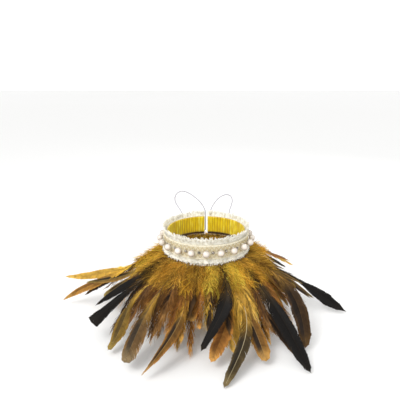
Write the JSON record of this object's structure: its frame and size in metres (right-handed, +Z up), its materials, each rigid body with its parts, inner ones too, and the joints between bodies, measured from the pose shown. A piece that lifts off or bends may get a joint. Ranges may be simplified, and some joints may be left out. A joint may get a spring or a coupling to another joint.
{
  "type": "feather collar",
  "caption": "Neck collar of long cock feathers hanging from a pearl-trimmed lace band lined with pleated satin, open at the back with two elastic loops.",
  "frame": {"origin": "on the table under the middle of the collar, at the centre of its plan", "axes": "+Z up; +X to the wearer's left, along the widest spread of the feathers; the front faces -Y and the opening faces +Y"},
  "size_m": [0.352, 0.3256, 0.1374],
  "materials": {
    "yellow_satin": "glossy polyester satin, pleated",
    "buckram": "stiff woven interlining",
    "brown_tape": "matt woven tape",
    "ivory_braid": "ivory braid with pale gold thread",
    "white_frill": "white picot frill, matt",
    "pearl": "pearlescent coating",
    "gold_feather": "feather vane, silky, mustard down at the base",
    "dark_feather": "feather vane, silky, olive to black",
    "elastic_cord": "round covered elastic, white"
  },
  "bodies": {
    "left_band": {"lining_left": "yellow_satin", "stiffener_left": "buckram", "header_tape_left": "brown_tape", "braid_left": "ivory_braid", "top_frill_left": "white_frill", "low_frill_left": "white_frill", "pearl_01": "pearl", "pearl_02": "pearl", "pearl_03": "pearl", "pearl_04": "pearl", "pearl_05": "pearl", "pearl_06": "pearl", "pearl_07": "pearl", "cord_loop_left": "elastic_cord"},
    "front_band": {"lining_front": "yellow_satin", "stiffener_front": "buckram", "header_tape_front": "brown_tape", "braid_front": "ivory_braid", "top_frill_front": "white_frill", "low_frill_front": "white_frill", "pearl_08": "pearl", "pearl_09": "pearl", "pearl_10": "pearl", "pearl_11": "pearl", "pearl_12": "pearl", "pearl_13": "pearl", "pearl_14": "pearl"},
    "right_band": {"lining_right": "yellow_satin", "stiffener_right": "buckram", "header_tape_right": "brown_tape", "braid_right": "ivory_braid", "top_frill_right": "white_frill", "low_frill_right": "white_frill", "pearl_15": "pearl", "pearl_16": "pearl", "pearl_17": "pearl", "pearl_18": "pearl", "pearl_19": "pearl", "pearl_20": "pearl", "pearl_21": "pearl", "cord_loop_right": "elastic_cord"},
    "feather_01": {"feather_01": "gold_feather"},
    "feather_02": {"feather_02": "dark_feather"},
    "feather_03": {"feather_03": "gold_feather"},
    "feather_04": {"feather_04": "dark_feather"},
    "feather_05": {"feather_05": "gold_feather"},
    "feather_06": {"feather_06": "dark_feather"},
    "feather_07": {"feather_07": "gold_feather"},
    "feather_08": {"feather_08": "dark_feather"},
    "feather_09": {"feather_09": "gold_feather"},
    "feather_10": {"feather_10": "gold_feather"},
    "feather_11": {"feather_11": "dark_feather"},
    "feather_12": {"feather_12": "gold_feather"},
    "feather_13": {"feather_13": "dark_feather"},
    "feather_14": {"feather_14": "gold_feather"},
    "feather_15": {"feather_15": "dark_feather"},
    "feather_16": {"feather_16": "gold_feather"},
    "feather_17": {"feather_17": "dark_feather"},
    "feather_18": {"feather_18": "gold_feather"}
  },
  "joints": [
    {"name": "left_band_open", "type": "hinge", "parent": "front_band", "child": "left_band", "pos_m": [-0.04798, -0.0277, 0.095], "axis": [0, 0, 1], "range_deg": [0, 30], "stiffness_Nm_per_rad": 0.05},
    {"name": "right_band_open", "type": "hinge", "parent": "front_band", "child": "right_band", "pos_m": [0.04798, -0.0277, 0.095], "axis": [0, 0, -1], "range_deg": [0, 30], "stiffness_Nm_per_rad": 0.05},
    {"name": "feather_01_lift", "type": "hinge", "parent": "left_band", "child": "feather_01", "pos_m": [-0.00882, 0.05003, 0.0794], "axis": [0.9848, 0.1736, 0], "range_deg": [-20, 25], "stiffness_Nm_per_rad": 0.25},
    {"name": "feather_02_lift", "type": "hinge", "parent": "left_band", "child": "feather_02", "pos_m": [-0.0254, 0.04399, 0.0794], "axis": [0.848, 0.5299, 0], "range_deg": [-20, 25], "stiffness_Nm_per_rad": 0.25},
    {"name": "feather_03_lift", "type": "hinge", "parent": "left_band", "child": "feather_03", "pos_m": [-0.03892, 0.03265, 0.0794], "axis": [0.6428, 0.766, 0], "range_deg": [-20, 25], "stiffness_Nm_per_rad": 0.25},
    {"name": "feather_04_lift", "type": "hinge", "parent": "left_band", "child": "feather_04", "pos_m": [-0.04774, 0.01737, 0.0794], "axis": [0.3746, 0.9272, 0], "range_deg": [-20, 25], "stiffness_Nm_per_rad": 0.25},
    {"name": "feather_05_lift", "type": "hinge", "parent": "left_band", "child": "feather_05", "pos_m": [-0.0508, 0, 0.0794], "axis": [0, 1, 0], "range_deg": [-20, 25], "stiffness_Nm_per_rad": 0.25},
    {"name": "feather_06_lift", "type": "hinge", "parent": "left_band", "child": "feather_06", "pos_m": [-0.04774, -0.01737, 0.0794], "axis": [-0.2419, 0.9703, 0], "range_deg": [-20, 25], "stiffness_Nm_per_rad": 0.25},
    {"name": "feather_07_lift", "type": "hinge", "parent": "front_band", "child": "feather_07", "pos_m": [-0.03892, -0.03265, 0.0794], "axis": [-0.7193, 0.6947, 0], "range_deg": [-20, 25], "stiffness_Nm_per_rad": 0.25},
    {"name": "feather_08_lift", "type": "hinge", "parent": "front_band", "child": "feather_08", "pos_m": [-0.0254, -0.04399, 0.0794], "axis": [-0.891, 0.454, 0], "range_deg": [-20, 25], "stiffness_Nm_per_rad": 0.25},
    {"name": "feather_09_lift", "type": "hinge", "parent": "front_band", "child": "feather_09", "pos_m": [-0.00882, -0.05003, 0.0794], "axis": [-0.9848, 0.1736, 0], "range_deg": [-20, 25], "stiffness_Nm_per_rad": 0.25},
    {"name": "feather_10_lift", "type": "hinge", "parent": "front_band", "child": "feather_10", "pos_m": [0.00882, -0.05003, 0.0794], "axis": [-0.9848, -0.1736, 0], "range_deg": [-20, 25], "stiffness_Nm_per_rad": 0.25},
    {"name": "feather_11_lift", "type": "hinge", "parent": "front_band", "child": "feather_11", "pos_m": [0.0254, -0.04399, 0.0794], "axis": [-0.891, -0.454, 0], "range_deg": [-20, 25], "stiffness_Nm_per_rad": 0.25},
    {"name": "feather_12_lift", "type": "hinge", "parent": "front_band", "child": "feather_12", "pos_m": [0.03892, -0.03265, 0.0794], "axis": [-0.7193, -0.6947, 0], "range_deg": [-20, 25], "stiffness_Nm_per_rad": 0.25},
    {"name": "feather_13_lift", "type": "hinge", "parent": "right_band", "child": "feather_13", "pos_m": [0.04774, -0.01737, 0.0794], "axis": [-0.2419, -0.9703, 0], "range_deg": [-20, 25], "stiffness_Nm_per_rad": 0.25},
    {"name": "feather_14_lift", "type": "hinge", "parent": "right_band", "child": "feather_14", "pos_m": [0.0508, 0, 0.0794], "axis": [0, -1, 0], "range_deg": [-20, 25], "stiffness_Nm_per_rad": 0.25},
    {"name": "feather_15_lift", "type": "hinge", "parent": "right_band", "child": "feather_15", "pos_m": [0.04774, 0.01737, 0.0794], "axis": [0.3746, -0.9272, 0], "range_deg": [-20, 25], "stiffness_Nm_per_rad": 0.25},
    {"name": "feather_16_lift", "type": "hinge", "parent": "right_band", "child": "feather_16", "pos_m": [0.03892, 0.03265, 0.0794], "axis": [0.6428, -0.766, 0], "range_deg": [-20, 25], "stiffness_Nm_per_rad": 0.25},
    {"name": "feather_17_lift", "type": "hinge", "parent": "right_band", "child": "feather_17", "pos_m": [0.0254, 0.04399, 0.0794], "axis": [0.848, -0.5299, 0], "range_deg": [-20, 25], "stiffness_Nm_per_rad": 0.25},
    {"name": "feather_18_lift", "type": "hinge", "parent": "right_band", "child": "feather_18", "pos_m": [0.00882, 0.05003, 0.0794], "axis": [0.9848, -0.1736, 0], "range_deg": [-20, 25], "stiffness_Nm_per_rad": 0.25}
  ]
}
